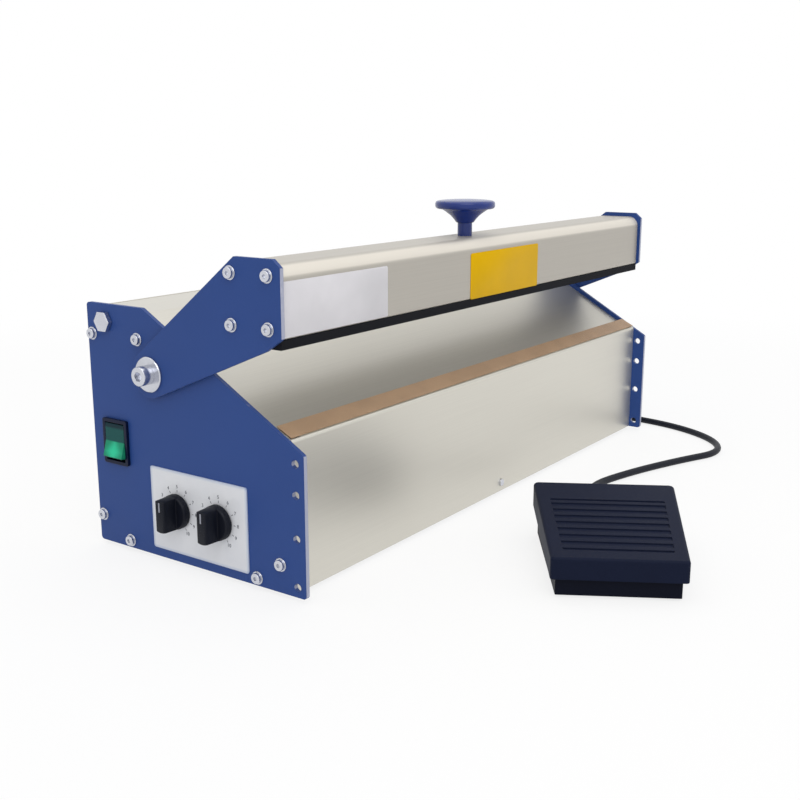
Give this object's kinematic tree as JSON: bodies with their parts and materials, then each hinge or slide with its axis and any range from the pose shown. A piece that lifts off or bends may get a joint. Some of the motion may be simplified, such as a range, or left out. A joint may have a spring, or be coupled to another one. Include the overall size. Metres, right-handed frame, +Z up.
{
  "type": "impulse sealer",
  "caption": "Table-top impulse sealer with a lifting jaw on side arms, sloped cover, end dials and rocker, and a corded foot switch.",
  "frame": {"origin": "underside of the middle rubber foot, on the table, under the middle of the machine's footprint", "axes": "+X along the jaw from the control end to the plain end, +Y from the operator's side to the rear, +Z up"},
  "size_m": [0.5717, 0.491, 0.2382],
  "materials": {
    "blue_paint": "satin blue enamel on steel plate",
    "brushed_sheet": "warm grey satin sheet",
    "zinc_sheet": "bright zinc plated",
    "anodised": "satin champagne anodised extrusion",
    "glass_cloth": "woven glass cloth",
    "resistance_wire": "bright flat ribbon",
    "release_tape": "coated tan cloth tape",
    "brass": "machined",
    "bronze": "sintered bronze",
    "black_rubber": "matte",
    "blue_plastic": "glossy dark blue moulding",
    "screw_steel": "bright plated steel",
    "core_iron": "dull laminated iron",
    "spring_steel": "drawn spring wire",
    "winding": "taped copper winding",
    "control_metal": "plated",
    "knob_plastic": "satin black",
    "circuit_board": "green laminate",
    "dial_sheet": "white printed sheet",
    "switch_plastic": "dark navy moulding",
    "green_plastic": "translucent green rocker",
    "black_plastic": "fine grain",
    "pedal_plastic": "fine grain dark grey",
    "cord_jacket": "smooth jacket"
  },
  "bodies": {
    "machine": {"left_side_plate": "blue_paint", "right_side_plate": "blue_paint", "front_panel": "brushed_sheet", "top_cover": "brushed_sheet", "rear_panel": "brushed_sheet", "base_plate": "zinc_sheet", "magnet_brackets": "zinc_sheet", "seal_bar": "anodised", "insulating_strip": "glass_cloth", "heating_wire": "resistance_wire", "ptfe_tape": "release_tape", "wire_clamps": "brass", "side_screws": "screw_steel", "panel_screws": "screw_steel", "tie_rod": "screw_steel", "tie_rod_bolts": "screw_steel", "pivot_bushes": "bronze", "magnet_cores": "core_iron", "transformer_core": "core_iron", "pedal_spring": "spring_steel", "magnet_coils": "winding", "transformer_winding": "winding", "timer_potentiometers": "control_metal", "potentiometer_nuts": "control_metal", "timer_board": "circuit_board", "control_plate": "dial_sheet", "switch_housing": "switch_plastic", "mains_inlet": "black_plastic", "pedal_cord_gland": "black_plastic", "rubber_feet": "black_rubber", "pedal_base": "black_plastic", "pedal_hinge_pin": "screw_steel", "pedal_switch": "black_plastic", "pedal_feet": "black_rubber", "pedal_grommet": "black_rubber", "pedal_cord": "cord_jacket", "pedal_cord_tail": "cord_jacket", "pedal_cord_coil": "cord_jacket"},
    "jaw": {"left_arm_plate": "blue_paint", "right_arm_plate": "blue_paint", "beam_profile": "anodised", "pressure_pad": "black_rubber", "lift_handle": "blue_plastic", "handle_stud": "screw_steel", "arm_screws": "screw_steel", "pivot_shaft": "screw_steel", "pivot_washers": "screw_steel", "pivot_screws": "screw_steel", "bell_cranks": "zinc_sheet", "armature_plates": "core_iron", "return_springs": "spring_steel"},
    "rocker": {"power_rocker": "green_plastic"},
    "seal_dial": {"seal_time_knob": "knob_plastic", "seal_timer_shaft": "control_metal"},
    "cool_dial": {"cool_time_knob": "knob_plastic", "cool_timer_shaft": "control_metal"},
    "pedal_lid": {"pedal_cover": "pedal_plastic"}
  },
  "joints": [
    {"name": "jaw_hinge", "type": "hinge", "parent": "machine", "child": "jaw", "pos_m": [0, 0.03175, 0.132], "axis": [1, 0, 0], "range_deg": [0, 26.46], "stiffness_Nm_per_rad": 2.5, "springref_deg": -37.24, "deforming": ["return_springs"]},
    {"name": "rocker_tilt", "type": "hinge", "parent": "machine", "child": "rocker", "pos_m": [-0.256, 0.07245, 0.079], "axis": [0, -1, 0], "range_deg": [0, 16]},
    {"name": "seal_dial_turn", "type": "hinge", "parent": "machine", "child": "seal_dial", "pos_m": [-0.262, 0.01475, 0.04], "axis": [1, 0, 0], "range_deg": [-150, 150]},
    {"name": "cool_dial_turn", "type": "hinge", "parent": "machine", "child": "cool_dial", "pos_m": [-0.262, -0.02325, 0.04], "axis": [1, 0, 0], "range_deg": [-150, 150]},
    {"name": "pedal_press", "type": "hinge", "parent": "machine", "child": "pedal_lid", "pos_m": [-0.04803, -0.19707, 0.021], "axis": [0.503, -0.8643, 0], "range_deg": [0, 4], "stiffness_Nm_per_rad": 1.5, "springref_deg": -6.88, "deforming": ["pedal_spring"]}
  ]
}
